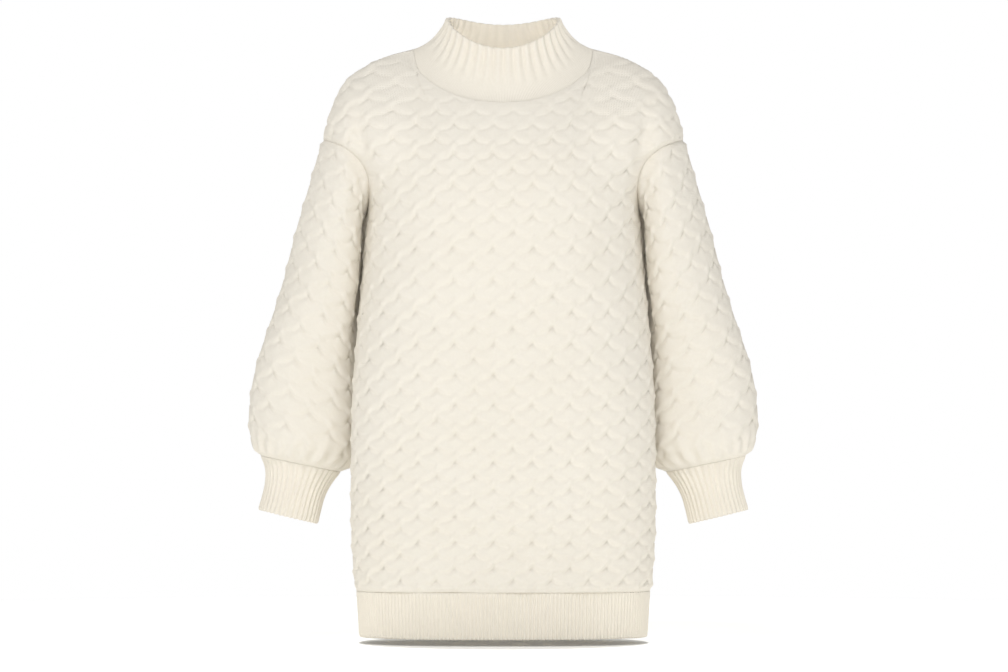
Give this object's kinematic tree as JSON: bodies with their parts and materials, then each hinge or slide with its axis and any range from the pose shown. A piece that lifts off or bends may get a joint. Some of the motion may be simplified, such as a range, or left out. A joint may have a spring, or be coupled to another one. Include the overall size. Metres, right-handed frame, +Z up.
{
  "type": "sweater dress",
  "caption": "Oversized mini sweater dress in an all-over cable lattice knit, with a ribbed funnel neck, dropped balloon sleeves, ribbed cuffs and a ribbed hem.",
  "frame": {"origin": "midway between the two neck points of the shoulders, where the wearer's neck and shoulders hold the dress", "axes": "+Z up, +X to the wearer's left, the front faces -Y"},
  "size_m": [0.7044, 0.2467, 0.8555],
  "materials": {
    "cable_knit": "soft matte cream wool blend knitted in a cable lattice",
    "rib_knit": "soft matte cream wool blend knitted in ribs"
  },
  "bodies": {
    "root": {"front_panel": "cable_knit", "back_panel": "cable_knit", "sleeve_left": "cable_knit", "sleeve_right": "cable_knit", "cuff_left": "rib_knit", "cuff_right": "rib_knit", "neckband": "rib_knit", "hem_band_front": "rib_knit", "hem_band_back": "rib_knit"}
  },
  "joints": []
}
